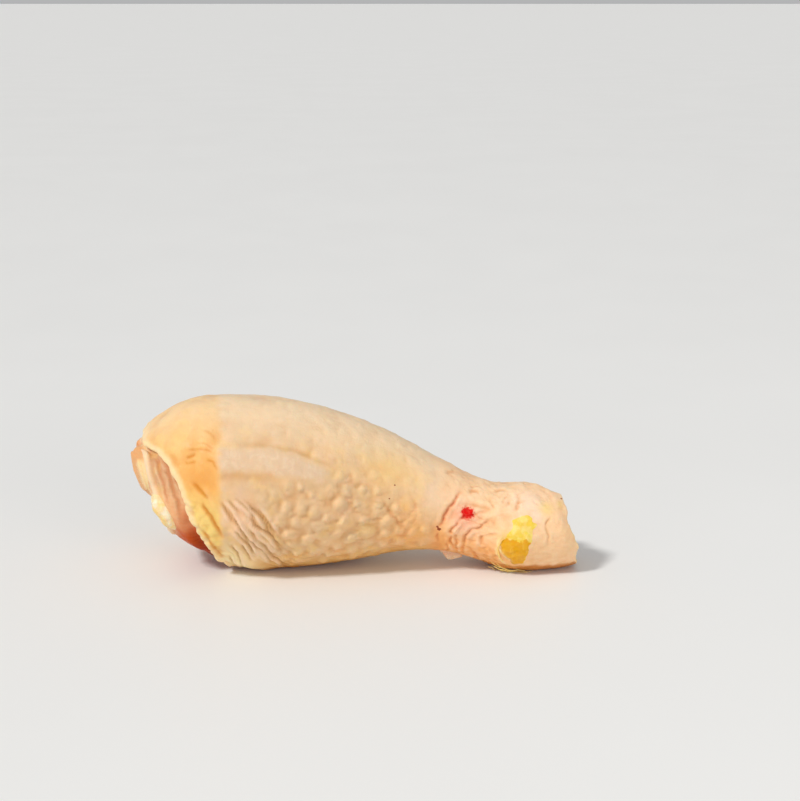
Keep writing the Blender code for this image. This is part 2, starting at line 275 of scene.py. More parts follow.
# The cut knee: clefts between its muscles (angle, depth, spread in degrees), the white rim of
# the joint's capsule, and the white sheaths of the muscles.
KNEE_CLEFTS = ((-8, 1.2, 9), (-72, 1.6, 10), (-128, 1.6, 12), (175, 1.2, 12))
CAPSULE = (
    (0.022, 60), (0.034, 34), (0.043, 24), (0.052, 12), (0.062, -2), (0.071, -15), (0.081, -28),
    (0.094, -52), (0.104, -86), (0.094, -126), (0.060, -164), (0.034, -200), (0.022, -250),
    (0.022, -300),
)
FASCIAE = (
    ((0.076, 30), (0.087, 19), (0.099, 4), (0.108, -6), (0.117, -20), (0.124, -36)),
    ((0.062, 28), (0.072, 14), (0.083, 0), (0.091, -12), (0.100, -28)),
    ((0.100, 14), (0.120, 2), (0.132, -10)),
    ((0.112, -58), (0.150, -68), (0.200, -74)),
    ((0.104, -118), (0.140, -126), (0.180, -130)),
    ((0.060, 176), (0.085, 174), (0.110, 178)),
)

# Shin bone: along, radius. Its middle line runs straight from knee to hock.
BONE_RADII = (
    (0.010, 0.0), (0.013, 3.6), (0.023, 6.3), (0.044, 8.4), (0.078, 9.5), (0.115, 9.0),
    (0.165, 6.2), (0.250, 4.3), (0.500, 3.7), (0.740, 3.8), (0.860, 4.8), (0.920, 6.2),
    (0.940, 6.5), (0.960, 5.6), (0.971, 3.4), (0.975, 0.0),
)
BONE_KNEE = Vector((0, 0.5, 30.0)) * MM
BONE_HOCK = Vector((0, -3.0, 13.0)) * MM
KNEE_LEAN = 0.25
CONDYLE_SPLIT = 0.10
FAT_AXIS = Vector((6.5, -1.0, -10.0))
FAT_RADII = np.array((4.2, 3.6, 7.0)) * MM


# ---------------------------------------------------------------- curves and noise


def smooth_through(table, at):
    """A smooth curve through the rows (key, value) of a table, read at the given keys."""
    keys, values = np.array(table, float).T
    slopes = np.gradient(values, keys)
    at = np.clip(at, keys[0], keys[-1])
    left = np.clip(np.searchsorted(keys, at) - 1, 0, len(keys) - 2)
    span = keys[left + 1] - keys[left]
    u = (at - keys[left]) / span
    rise = values[left + 1] - values[left]
    lean = u * (1 - u) * ((1 - u) * slopes[left] - u * slopes[left + 1]) * span
    return values[left] + rise * u * u * (3 - 2 * u) + lean


def round_through(table, degrees):
    """The same on a table that closes on itself after 360 degrees."""
    rows = list(table)
    before = [(angle - 360, value) for angle, value in rows[-3:]]
    after = [(angle + 360, value) for angle, value in rows[:3]]
    first = rows[0][0]
    return smooth_through(before + rows + after, (degrees - first) % 360 + first)


def step(low, high, at):
    """0 below low, 1 above high, and smooth between."""
    u = np.clip((at - low) / (high - low), 0, 1)
    return u * u * (3 - 2 * u)


def window(low, rise, fall, high, at):
    """0 up to low, 1 from rise to fall, and 0 again from high."""
    return step(low, rise, at) * (1 - step(fall, high, at))


def bell(distance, spread):
    return np.exp(-((distance / spread) ** 2))


def turned(degrees, angle):
    """The way from an angle to each of some others, between -180 and 180 degrees."""
    return (degrees - angle + 180) % 360 - 180


def beneath(degrees, low, high):
    """1 under the body, fading out between two angles in front, and again behind."""
    return window(-178, -125, low, high, turned(degrees, 0))


def rough(points, size, seed, octaves=2):
    """Smooth noise of about -1 to 1 at each point, with lumps of a size in millimetres."""
    shift = Vector((13.7, -7.3, 4.1)) * seed
    flat = np.reshape(points, (-1, 3)) / (size * MM)
    values = [noise.fractal(Vector(point) + shift, 0.9, 2.1, octaves) for point in flat]
    return np.reshape(values, np.shape(points)[:-1])


def fading(share, head=0.22, tail=0.30):
    """1 along a line, thinning to 0 at its two ends."""
    return window(0, head, 1 - tail, 1, share)


# ---------------------------------------------------------------- the body's form


def section(along):
    """Centre's height, half height, half width and side shift of the body."""
    root = np.sqrt(along)
    column = [[(np.sqrt(row[0]), row[i]) for row in SECTIONS] for i in range(1, 5)]
    height, tall, wide, aside = (smooth_through(table, root) for table in column)
    return (
        height * CALF_HEIGHT - SAG,
        tall * CALF_HEIGHT / 2,
        wide * CALF_WIDTH / 2,
        aside * CALF_WIDTH / 2,
    )


def body(along, degrees, inset):
    """Points of the body's form, moved in by inset."""
    height, tall, wide, aside = section(along)
    angle = np.radians(degrees)
    swell = 0.020 * np.cos(2 * angle - 1.1) + 0.014 * np.cos(3 * angle + 0.6)
    swell = 1 + step(0.08, 0.25, along) * swell
    x = (along - 0.5) * LENGTH + 0 * angle
    y = aside - (wide * swell - inset) * np.cos(angle)
    z = height + (tall * swell - inset) * np.sin(angle)
    return np.stack([x, y, z], axis=-1)


def lie_down(points):
    """Lifts what would sink into the table."""
    z = points[..., 2]
    lifted = (z + np.sqrt(z**2 + FLOOR_BEND**2)) / 2
    return np.concatenate([points[..., :2], lifted[..., None]], axis=-1)


def knee_rim(degrees):
    return round_through(KNEE_RIM, degrees)


def hock_rim(degrees):
    return round_through(HOCK_RIM, degrees)


def curl(along, degrees):
    """How far the skin turns in towards its two cut edges."""
    to_hock = step(hock_rim(degrees) - 0.035, hock_rim(degrees), along)
    to_knee = step(-0.030, 0.0, knee_rim(degrees) - along)
    square = 1 - 0.8 * bell(turned(degrees, -64), 42)
    return HOCK_CURL * square * to_hock**2 + KNEE_CURL * to_knee


def skin_depth(along, degrees):
    """Thickness of the skin, which carries fat along its knee edge, least at the top."""
    tight = 1 - 0.35 * bell(turned(degrees, 42), 26)
    return SKIN + RIM_FAT * tight * (1 - step(0.0, 0.07, along - knee_rim(degrees)))


def skin_point(along, degrees):
    return body(along, degrees, curl(along, degrees))


def meat_point(along, degrees):
    """The meat lies just under the skin, and swells out past the skin's knee edge."""
    under = curl(along, degrees) + skin_depth(along, degrees) - 0.1 * MM
    rim = knee_rim(degrees)
    out = step(np.minimum(0.010, 0.2 * rim), np.minimum(0.050, 0.8 * rim), rim - along)
    inset = under * (1 - out)
    for angle, depth, spread in KNEE_CLEFTS:
        inset = inset + depth * MM * out * bell(turned(degrees, angle), spread)
    return body(along, degrees, inset * step(-0.002, 0.012, along))


# ---------------------------------------------------------------- grids and lines


def unit(vectors):
    return vectors / np.maximum(np.linalg.norm(vectors, axis=-1, keepdims=True), 1e-12)


def normals_of(points):
    """Outward normals of a grid whose rows are closed rings."""
    down = np.gradient(points, axis=0)
    across = np.roll(points, -1, axis=1) - np.roll(points, 1, axis=1)
    return unit(np.cross(down, across))


def smoothed(field, passes):
    """A field averaged with its neighbours over and over."""
    for _ in range(passes):
        field = (2 * field + np.roll(field, 1, axis=1) + np.roll(field, -1, axis=1)) / 4
        padded = np.concatenate([field[:1], field, field[-1:]])
        field = (2 * field + padded[:-2] + padded[2:]) / 4
    return field


def trace(path, wander, seed, surface):
    """Close points of a smooth line through places on a surface, which wanders a little."""
    knots = np.array(path, float)
    keys = np.arange(len(knots))
    ends = surface(knots[:, 0], knots[:, 1])
    length = np.linalg.norm(np.diff(ends, axis=0), axis=1).sum()
    at = np.linspace(0, len(knots) - 1, max(12, int(length / (0.35 * MM))))
    along = smooth_through(np.c_[keys, knots[:, 0]], at)
    degrees = smooth_through(np.c_[keys, knots[:, 1]], at)
    line = surface(along, degrees)
    shifts = [rough(line, 3.0, seed + axis) for axis in (11, 12, 13)]
    return line + wander * MM * np.stack(shifts, axis=-1)


class Sheet:
    """A grid of rings on a surface, with the height and the colour masks that it gathers."""

    def __init__(self, along, degrees, points, surface=None):
        self.along = along
        self.degrees = turned(degrees, 0)
        self.points = points
        self.normals = normals_of(points)
        self.surface = surface
        self.rise = np.zeros(along.shape)
        self.masks = {}

    def mark(self, name, amount):
        """Raises a mask to an amount wherever it is lower."""
        before = self.masks.get(name, np.zeros(self.along.shape))
        self.masks[name] = np.maximum(before, np.clip(amount, 0, 1))

    def rough(self, size, seed, octaves=2, stretch=None):
        """Smooth noise of about -1 to 1, in space that a matrix may stretch."""
        points = self.points if stretch is None else self.points @ stretch
        return rough(points, size, seed, octaves)

    def wrinkles(self, size, seed, width, stretch=SLANT):
        """1 along thin lines that wander over the sheet, and 0 between them."""
        return bell(self.rough(size, seed, 2, stretch), width)

    def gap(self, place):
        """The way from a place to every point, in millimetres."""
        return (self.points - self.surface(*np.array(place, float))) / MM

    def near(self, path, reach, wander, seed):
        """Distance of every point to a line through places, in millimetres and signed by the
        side that it lies on, and how far along the line that is, from 0 to 1. Beyond the reach
        the distance is infinite."""
        line = trace(path, wander, seed, self.surface)
        reach = reach * MM
        flat = self.points.reshape(-1, 3)
        boxed = (flat > line.min(axis=0) - reach) & (flat < line.max(axis=0) + reach)
        chosen = np.flatnonzero(np.all(boxed, axis=1))
        distance = np.full(len(flat), np.inf)
        share = np.zeros(len(flat))
        tangents = unit(np.gradient(line, axis=0))
        normals = self.normals.reshape(-1, 3)
        for part in np.array_split(chosen, len(chosen) // 4000 + 1):
            gaps = flat[part, None] - line[None]
            lengths = np.linalg.norm(gaps, axis=2)
            best = lengths.argmin(axis=1)
            row = np.arange(len(part))
            side = np.einsum("ij,ij->i", np.cross(normals[part], tangents[best]), gaps[row, best])
            distance[part] = lengths[row, best] * np.where(side < 0, -1, 1)
            share[part] = best / (len(line) - 1)
        distance[np.abs(distance) > reach] = np.inf
        return (distance / MM).reshape(self.along.shape), share.reshape(self.along.shape)

    def moved(self):
        return self.points + self.normals * MM * self.rise[..., None]


# ---------------------------------------------------------------- the skin's surface


def band_edge(degrees):
    return round_through(BAND_EDGE, degrees)


def start_skin():
    """The skin's outer side, from one uneven edge to the other, with its rows and columns
    closest together where the detail is."""
    angle = np.interp(np.arange(AROUND) / AROUND, (0, 0.25, 0.683, 1), (0, 75, 265, 360))
    turn = np.radians(angle)
    ring = np.stack([np.cos(turn), np.sin(turn), 0 * turn], axis=-1) * MM
    knee_wave = 0.0032 * rough(ring, 0.26, 3, 3) + 0.0018 * rough(ring, 0.09, 4, 2)
    hock_wave = 0.0022 * rough(ring, 0.30, 5, 3) + 0.006 * bell(turned(angle, -18), 6)
    start = knee_rim(angle) + 0.35 * (SKIN + RIM_FAT) / LENGTH + knee_wave
    end = hock_rim(angle) - 0.35 * SKIN / LENGTH + hock_wave
    row = np.linspace(0, 1, OUTER_ROWS)
    share = np.interp(row, (0, 0.18, 0.52, 0.90, 1), (0, 0.20, 0.62, 0.93, 1))
    along = start + share[:, None] * (end - start)
    degrees = np.broadcast_to(angle, along.shape)
    return Sheet(along, degrees, skin_point(along, degrees), skin_point)


def add_lumps(skin):
    """Flesh under the skin is never even."""
    fat = 1 - step(0.0, 0.05, skin.along - band_edge(skin.degrees))
    hock = step(0.66, 0.76, skin.along)
    skin.rise += 0.45 * skin.rough(17, 21)
    skin.rise += (0.14 + 0.10 * fat + 0.14 * hock) * skin.rough(5.5, 22)
    skin.rise += (0.05 + 0.05 * fat + 0.06 * hock) * skin.rough(2.0, 23, 3)
    for number, (path, height, spread) in enumerate(RELIEF):
        distance, share = skin.near(path, 3 * spread, 0.6, number)
        skin.rise += height * bell(distance, spread) * fading(share)


def add_fat_band(skin):
    """Orange fat under the skin of the knee, lemon below, which ends in fingers."""
    fingers = skin.rough(3.0, 35, 3, FIBRES)
    edge = band_edge(skin.degrees) + 0.005 * skin.rough(9, 31) + 0.006 * fingers
    upper = turned(skin.degrees, 75) + 14 * skin.rough(11, 36, 3)
    fading_top = 1 - 0.70 * bell(upper, 34)
    skin.mark("band", (1 - step(edge - 0.014, edge + 0.007, skin.along)) * fading_top)
    low = beneath(skin.degrees, -14, 14)
    skin.mark("lemon", low * (1 - step(0.0, 0.030, skin.along - edge)))
    for number, (path, height, spread) in enumerate(BAND_FOLDS):
        distance, share = skin.near(path, 4 * spread, 0.5, 40 + number)
        amount = fading(share) * bell(distance, spread)
        skin.rise += height * amount
        # The grooves get the streak colour: partly the fat's own orange streaks, partly painted shade.
        skin.mark("streak", 1.3 * amount * min(1, max(0, -8 * height)))
        # A painted highlight on each fold of the band.
        skin.mark("painted_fold_highlight", amount * (height > 0))


def add_rim(skin):
    """The skin is thick, cream and puckered along the knee's cut edge."""
    from_rim = skin.along - knee_rim(skin.degrees)
    skin.mark("rim", 1 - step(0.010, 0.026, from_rim + 0.005 * skin.rough(4, 32, 3)))
    low = beneath(skin.degrees, -14, 14) * (1 - step(0.02, 0.07, from_rim))
    puckers = low * skin.wrinkles(4.0, 37, 0.16)
    skin.rise += 0.42 * low * skin.rough(3.2, 34, 3) - 0.34 * puckers
    # Painted shade in the puckers' grooves, in the streak colour.
    skin.mark("streak", 0.30 * puckers)
    lip = bell(from_rim * LENGTH / MM - 1.1, 1.2)
    skin.rise += 0.55 * lip * (1 + skin.rough(4, 33))


def add_tendon_strip(skin):
    """A flat raised strip that shows through the skin, with a line along each side. Gives how
    much it smooths the skin over it."""
    distance, share = skin.near(TENDON_STRIP, 9, 0.3, 60)
    width = np.interp(share, (0, 0.66, 1), TENDON_HALF_WIDTH)
    off = np.abs(distance) - width * (1 + 0.16 * skin.rough(9, 61))
    length = window(0.0, 0.16, 0.80, 1.0, share)
    skin.rise += TENDON_RISE * (1 - step(-2.2, 1.6, off)) * length
    upper = bell(off - 0.8, 0.85) * (distance > 0) * length * step(0.15, 0.60, share)
    lower = bell(off - 0.9, 1.6) * (distance < 0) * length * (1 - step(0.3, 0.7, share))
    skin.rise -= 0.24 * upper + 0.15 * lower
    skin.mark("plateau", (1 - step(-2.2, 1.0, off)) * length)
    skin.mark("amber_line", upper * (0.70 + 0.45 * skin.rough(3, 62, 3)))
    skin.mark("shade", 0.30 * lower)
    return 0.85 * (1 - step(1.0, 3.0, off)) * (share < 1)


def add_folds(skin):
    """Slack skin gathers in slanting folds below the knee, each beside its crease, with a painted highlight
    on the fold and painted shade in the crease.
    """
    for number, (path, depth, side) in enumerate(FOLDS):
        distance, share = skin.near(path, 6, 0.35, 70 + number)
        ends = fading(share, 0.22, 0.32)
        crease = bell(distance, 0.36) * ends
        swell = bell(distance - side * 1.10, 0.62) * ends
        skin.rise += depth * (1.05 * swell - 1.15 * crease)
        skin.mark("painted_fold_highlight", swell)
        skin.mark("shade", crease)


def add_pleats(skin):
    """Fine pleats between the folds, along the same slant."""
    arc = np.radians(skin.degrees) * CALF_WIDTH / 2
    slanted = (0.8 * skin.points[..., 0] + 0.6 * arc) / (1.9 * MM)
    waves = np.sin(2 * np.pi * slanted + 2.6 * skin.rough(7, 91, 3))
    zone = step(0.222, 0.240, skin.along) * window(-92, -60, -4, 12, skin.degrees)
    zone *= 1 - step(0.31, 0.38, skin.along + 0.0010 * skin.degrees)
    zone *= step(-0.5, 0.4, skin.rough(8, 92))
    skin.rise += 0.15 * zone * waves
    skin.mark("shade", 0.30 * zone * step(0.35, 1.0, -waves))


def bump_strength(along, degrees):
    """How much the feather bumps stand out: most on the front of the calf."""
    lengthwise = window(0.245, 0.335, 0.615, 0.70, along)
    ceiling = np.interp(along, (0.42, 0.50, 0.60, 0.68), (44, 38, 18, 4))
    front = step(-68, -42, degrees) * (1 - step(-20, 12, degrees - ceiling))
    back = 0.85 * bell(turned(degrees, 190), 52)
    folds = 1 - 0.75 * (1 - step(0.30, 0.37, along)) * beneath(degrees, -6, 14)
    return lengthwise * np.maximum(0.20, np.maximum(front, back)) * folds


def bump_places(skin, generator):
    """Places all over the calf that keep a gap between them, in no strict pattern."""
    rows = generator.integers(0, OUTER_ROWS, BUMP_TRIES)
    columns = generator.integers(0, AROUND, BUMP_TRIES)
    chosen = []
    spots = np.full((1, 3), np.inf)
    for row, column in zip(rows, columns):
        spot = skin.points[row, column]
        free = np.linalg.norm(spots - spot, axis=1).min() > BUMP_GAP * MM
        if 0.22 < skin.along[row, column] < 0.72 and free:
            chosen.append((row, column))
            spots = np.vstack([spots, spot])
    return chosen


def add_feather_bumps(skin, smooth):
    """The skin stands up round each feather's root, in domes steeper towards the knee, with a painted
    highlight on each dome's top and painted shade in the dip beside it.
    """
    generator = np.random.default_rng(7)
    points = skin.points.reshape(-1, 3)
    domes, dome_highlights, pit_shade = np.zeros((3, len(points)))
    strength = bump_strength(skin.along, skin.degrees) * (1 - smooth)
    ragged = 1 + 0.30 * skin.rough(2.0, 98, 3).ravel()
    for row, column in bump_places(skin, generator):
        size = generator.uniform(0.70, 1.35)
        breadth = generator.uniform(1.15, 1.75) * size
        height = BUMP_HEIGHT * strength[row, column] * generator.uniform(0.35, 1.20)
        normal = skin.normals[row, column]
        lean = unit(np.array([-1.0, 0.0, generator.uniform(-0.30, 0.80)]))
        lean = unit(lean - normal * (lean @ normal))
        gaps = (points - skin.points[row, column]) / MM
        found = np.flatnonzero(np.linalg.norm(gaps, axis=1) < 4.2 * size)
        lengthwise = gaps[found] @ lean
        across = np.linalg.norm(gaps[found] - lengthwise[:, None] * lean, axis=1)
        slope = np.where(lengthwise > 0, 0.75, 1.60) * size
        far = np.hypot(lengthwise / slope, across / breadth) * ragged[found]
        foot = bell(lengthwise - 1.6 * size, 0.60) * bell(across, 1.3 * size)
        domes[found] += height * (np.exp(-(far**3.3)) - 0.22 * foot)
        dome_highlights[found] = np.maximum(dome_highlights[found], height * bell(far, 0.8))
        pit_shade[found] += height * foot
    shape = skin.along.shape
    skin.rise += domes.reshape(shape)
    skin.rise -= strength * (0.26 * skin.wrinkles(5.0, 96, 0.11) + 0.17 * skin.wrinkles(2.8, 97, 0.15))
    # Painted highlights on the domes and painted shade in their dips.
    skin.mark("bump", 1.6 * dome_highlights.reshape(shape))
    skin.mark("painted_pit_shade", 1.4 * pit_shade.reshape(shape))


def hidden_creases():
    """Creases round the back of the ankle and the hock, like those in front."""
    generator = np.random.default_rng(23)
    creases = []
    for _ in range(HIDDEN_CREASES):
        along = generator.uniform(0.675, 0.95)
        start = generator.uniform(165, 215)
        sweep = generator.uniform(20, 45) * generator.choice((-1, 1))
        slant = generator.uniform(-0.030, 0.030)
        path = [(along + slant * share + generator.uniform(-0.006, 0.006), start + sweep * share)
                for share in (0, 0.33, 0.66, 1)]
        creases.append((path, generator.uniform(0.25, 0.65), generator.uniform(0.45, 0.75), 0.1))
    return tuple(creases)


def add_creases(skin):
    """Sharp creases with puffed sides at the ankle and the hock, with painted shade in each crease and the
    crease's own redness.
    """
    for number, (path, depth, width, redness) in enumerate(CREASES + hidden_creases()):
        distance, share = skin.near(path, 5, 0.7, 100 + 3 * number)
        ends = fading(share)
        groove = bell(distance, width) * ends
        puffs = bell(np.abs(distance) - 2.6 * width, 1.7 * width) * ends
        skin.rise += depth * (0.34 * puffs - groove)
        skin.mark("crease", groove * min(1, 0.35 + depth))
        skin.mark("red_crease", redness * groove)


def add_hock_wrinkles(skin):
    """Papery wrinkles and small pebbles where the skin gets thin over the joint."""
    zone = window(0.68, 0.74, 0.955, 0.985, skin.along)
    zone *= 1 - 0.65 * step(0.82, 0.90, skin.along)
    zone *= 1 - 0.75 * bell(skin.along - 0.720, 0.045) * bell(turned(skin.degrees, 84), 26)
    lines = skin.wrinkles(4.2, 151, 0.13) + 0.6 * skin.wrinkles(2.6, 154, 0.15, None)
    lines *= step(-0.35, 0.25, skin.rough(7, 152))
    skin.rise += zone * (0.16 * skin.rough(2.8, 155) - 0.20 * lines)
    # Painted shade along the wrinkles.
    skin.mark("crease", 0.45 * zone * lines)
    above = window(30, 44, 70, 100, skin.degrees) * window(0.72, 0.77, 0.87, 0.91, skin.along)
    skin.rise += 0.20 * above * np.abs(skin.rough(2.3, 153))


def inside(outline, along, degrees):
    """True for the places inside an outline of places."""
    corners = np.array(outline)
    result = np.zeros(along.shape, bool)
    for (a0, d0), (a1, d1) in zip(corners, np.roll(corners, -1, axis=0)):
        crosses = (d0 > degrees) != (d1 > degrees)
        height = a0 + (degrees - d0) / (d1 - d0 + 1e-9) * (a1 - a0)
        result ^= crosses & (along < height)
    return result


def add_cuticle(skin):
    """What is left of the leg's yellow scales: a patch with a raised, torn edge."""
    along = skin.along + 0.0045 * skin.rough(2.0, 161, 4)
    degrees = skin.degrees + 3.6 * skin.rough(2.0, 162, 4)
    patch = smoothed(inside(CUTICLE, along, degrees).astype(float), 2)
    skin.mark("cuticle", patch)
    skin.mark("amber", patch * (1 - step(-3, 5, degrees + 4 * skin.rough(4, 163))))
    lower_edge = (1 - step(-16, 8, skin.degrees)) * (skin.along < 0.862)
    skin.mark("margin", 3.2 * patch * (1 - patch) * lower_edge)
    skin.rise += 0.16 * patch
    for number, path in enumerate(FILM_LINES):
        distance, share = skin.near(path, 3, 0.35, 165 + number)
        line = bell(distance, 0.42) * fading(share)
        skin.rise += 0.20 * line - 0.04 * bell(distance - 0.9, 0.45) * fading(share)
        skin.mark("film", line)


def add_cavities(skin):
    """Painted shade in the hollows of the skin's relief, and painted highlights on its peaks and on the
    ridges of the ankle and the hock.
    """
    relief = smoothed(skin.rise, 2) - smoothed(skin.rise, 40)
    skin.mark("painted_hollow_shade", -relief / 0.22)
    skin.mark("painted_peak_highlight", relief / 0.26)
    skin.mark("painted_ridge_highlight", relief / 0.20 * step(0.68, 0.73, skin.along))


def add_flushes(skin):
    """Broad changes of colour, with painted shade under the calf, partly painted light under the knee end
    and a painted shadow along the table.
    """
    along = skin.along
    degrees = skin.degrees
    ragged = skin.rough(12, 171, 3)
    for mask, strength, (middle, angle), (length, arc), push in PATCHES:
        skin.mark(mask, strength * bell(along - middle, length) * bell(degrees - angle + push * ragged, arc))
    skin.mark("ankle", step(0.655, 0.725, along + 0.02 * ragged))
    skin.mark("ruddy", window(0.64, 0.69, 0.80, 0.90, along) * beneath(degrees, -32, 10))
    skin.mark("top", step(24, 66, degrees + 2 * ragged) * (1 - step(140, 175, degrees)))
    # Painted shade under the calf.
    low = beneath(degrees + 2 * ragged, -70, -32)
    skin.mark("low", window(0.24, 0.33, 0.62, 0.72, along) * low)
    # Under the knee end, the fat's own lemon cream, brightened as painted light thrown up from below.
    skin.mark("cream", bell(along - 0.235 + 0.02 * ragged, 0.055) * beneath(degrees, -48, -18))
    shin = window(0.23, 0.30, 0.48, 0.62, along)
    skin.mark("dusky", 0.45 * shin * bell(degrees - 2 + 6 * ragged, 30))
    # Painted shadow along the bottom where the skin meets the table, reaching higher under the hock.
    height = skin.points[..., 2] / MM + 0.5 * skin.rough(3, 172)
    contact_shade_height = np.where(along > 0.7, 2.6, 1.2)
    skin.mark("painted_contact_shadow", 1 - step(contact_shade_height, contact_shade_height + 1.6, height))


def add_spots(skin):
    """Blood where the leg was bruised, and a few dark feather roots."""
    place, radius = BLOOD_SPOT
    gap = skin.gap(place)
    ragged = 1 + 0.20 * skin.rough(1.1, 183, 3)
    skin.mark("blood", 1 - np.linalg.norm(gap, axis=-1) * ragged / (2 * radius))
    trail = np.linalg.norm(gap * (0.75, 1.0, 1.0) - (-1.2, 0.0, -1.6), axis=-1)
    skin.mark("halo", bell(trail * ragged, 3.4))
    for place, radius in DARK_SPOTS:
        skin.mark("speck", 1 - np.linalg.norm(skin.gap(place), axis=-1) / (2 * radius))


# ---------------------------------------------------------------- meshes


def mesh_object(name, points, faces, masks):
    """A smooth mesh object that carries its masks as attributes."""
    mesh = bpy.data.meshes.new(name)
    mesh.from_pydata(points.tolist(), [], faces)
    for key, values in masks.items():
        layer = mesh.attributes.new(key, "FLOAT", "POINT")
        layer.data.foreach_set("value", np.ravel(values).astype(np.float32))
    mesh.shade_smooth()
    obj = bpy.data.objects.new(name, mesh)
    bpy.context.scene.collection.objects.link(obj)
    return obj


def ring_faces(rows, columns, end_to_end=False):
    """Quads between rings, with the last ring joined to the first if they meet."""
    row = np.arange(rows if end_to_end else rows - 1)[:, None]
    here = row * columns
    there = (row + 1) % rows * columns
    column = np.arange(columns)
    following = (column + 1) % columns
    quads = np.stack([here + column, there + column, there + following, here + following], axis=-1)
    return quads.reshape(-1, 4).tolist()


def tube_faces(rows, columns):
    """Quads between the rings of a tube, and one face over each end."""
    ring = list(range(columns))
    far_ring = [(rows - 1) * columns + corner for corner in ring]
    return ring_faces(rows, columns) + [ring, far_ring[::-1]]


def rolled_edge(rim, next_ring, normals, depth):
    """Half-round rows from the outer side of a cut edge to its inner side."""
    tangent = unit(np.roll(rim, -1, axis=0) - np.roll(rim, 1, axis=0))
    outward = unit(np.cross(normals, tangent))
    outward *= np.sign(np.einsum("ij,ij->i", outward, rim - next_ring))[:, None]
    turn = np.linspace(0, np.pi, EDGE_ROWS + 2)[1:-1, None, None]
    reach = normals * (np.cos(turn) - 1) + outward * EDGE_BULGE * np.sin(turn)
    return rim + reach * depth[:, None] / 2


def skin_mesh(skin):
    """The skin's outer side, its coarser inner side, and the rolled edges between them."""
    outer = skin.moved()
    depth = skin_depth(skin.along, skin.degrees)
    depth *= 1 + 0.22 * rough(skin.points[0], 5, 191, 3)
    inner_rows = (OUTER_ROWS - 1) * (1 - np.cos(np.linspace(0, np.pi, INNER_ROWS))) / 2
    inner_rows = np.round(inner_rows).astype(int)[::-1]
    inner = (outer - skin.normals * depth[..., None])[inner_rows]
    hock = rolled_edge(outer[-1], outer[-2], skin.normals[-1], depth[-1])
    knee = rolled_edge(outer[0], outer[1], skin.normals[0], depth[0])[::-1]
    rings = lie_down(np.concatenate([outer, hock, inner, knee]))
    source = np.r_[:OUTER_ROWS, [OUTER_ROWS - 1] * EDGE_ROWS, inner_rows, [0] * EDGE_ROWS]
    masks = {name: values[source] for name, values in skin.masks.items()}
    masks["edge"] = np.repeat(np.arange(len(rings)) >= OUTER_ROWS, AROUND)
    faces = ring_faces(len(rings), AROUND, end_to_end=True)
    return mesh_object("drumstick_skin", rings.reshape(-1, 3), faces, masks)


def make_skin():
    skin = start_skin()
    add_lumps(skin)
    add_fat_band(skin)
    add_rim(skin)
    smooth = add_tendon_strip(skin)
    add_folds(skin)
    add_pleats(skin)
    add_feather_bumps(skin, smooth)
    add_creases(skin)
    add_hock_wrinkles(skin)
    add_cavities(skin)
    add_cuticle(skin)
    add_flushes(skin)
    add_spots(skin)
    return skin_mesh(skin)


# ---------------------------------------------------------------- the meat


def start_meat():
    """The meat's surface: a fine dome at the knee, then coarser rings under the skin, and
    the cut end that shows inside the hock's edge."""
    angle = np.arange(MEAT_AROUND) * 360 / MEAT_AROUND
    dome = np.linspace(0.10, 1.12, DOME_ROWS)[:, None] ** 1.7 * knee_rim(angle)
    share = np.linspace(0, 1, UNDER_ROWS)[1:, None]
    under = dome[-1] + share * (hock_rim(angle) - 0.016 - dome[-1])
    along = np.concatenate([dome, under])
    points = meat_point(along, np.broadcast_to(angle, along.shape))
    inward = np.linspace(0, 1, CUT_ROWS)[1:, None]
    middle = np.array((points[-1, :, 0].mean(), BONE_HOCK.y, BONE_HOCK.z))
    cut = middle + (points[-1] - middle) * (1 - 0.64 * inward[..., None])
    cut[..., 0] += MM * (0.64 * inward - 0.48 * np.sin(np.pi * inward))
    points = np.concatenate([points, cut])
    along = np.concatenate([along, np.repeat(along[-1:], CUT_ROWS - 1, axis=0)])
    return Sheet(along, np.broadcast_to(angle, along.shape), points, meat_point)


def add_meat_relief(meat):
    """Muscle bundles, their white sheaths with painted shade in the groove beside each, and the capsule of
    the knee joint.
    """
    knee = 1 - step(0.20, 0.26, meat.along)
    meat.rise += knee * (0.30 * meat.rough(6, 201) + 0.10 * meat.rough(1.5, 202, 3, FIBRES))
    from_bone = np.hypot(meat.points[..., 1] - BONE_KNEE.y, meat.points[..., 2] - BONE_KNEE.z)
    meat.rise -= 1.1 * (1 - step(7.5, 11.5, from_bone / MM)) * (meat.along < 0.12)
    distance, _ = meat.near(CAPSULE, 6, 0.3, 210)
    capsule = 1 - step(0.7, 1.9, np.abs(distance) * (1 + 0.20 * meat.rough(4, 203)))
    meat.rise += 0.75 * capsule
    meat.mark("sheath", capsule)
    within = (distance > 0.6) & (distance < 4.5) & (meat.along < 0.09)
    meat.mark("yellow_fat", 0.35 * within * step(-0.5, 0.3, meat.rough(4, 204)))
    for number, path in enumerate(FASCIAE):
        distance, share = meat.near(path, 5, 0.6, 220 + number)
        line = bell(distance, 0.42) * fading(share)
        groove = bell(distance - 0.9, 0.6) * fading(share)
        meat.rise += 0.14 * line - 0.40 * groove
        meat.mark("sheath", 0.42 * line)
        meat.mark("painted_seam_shade", groove)


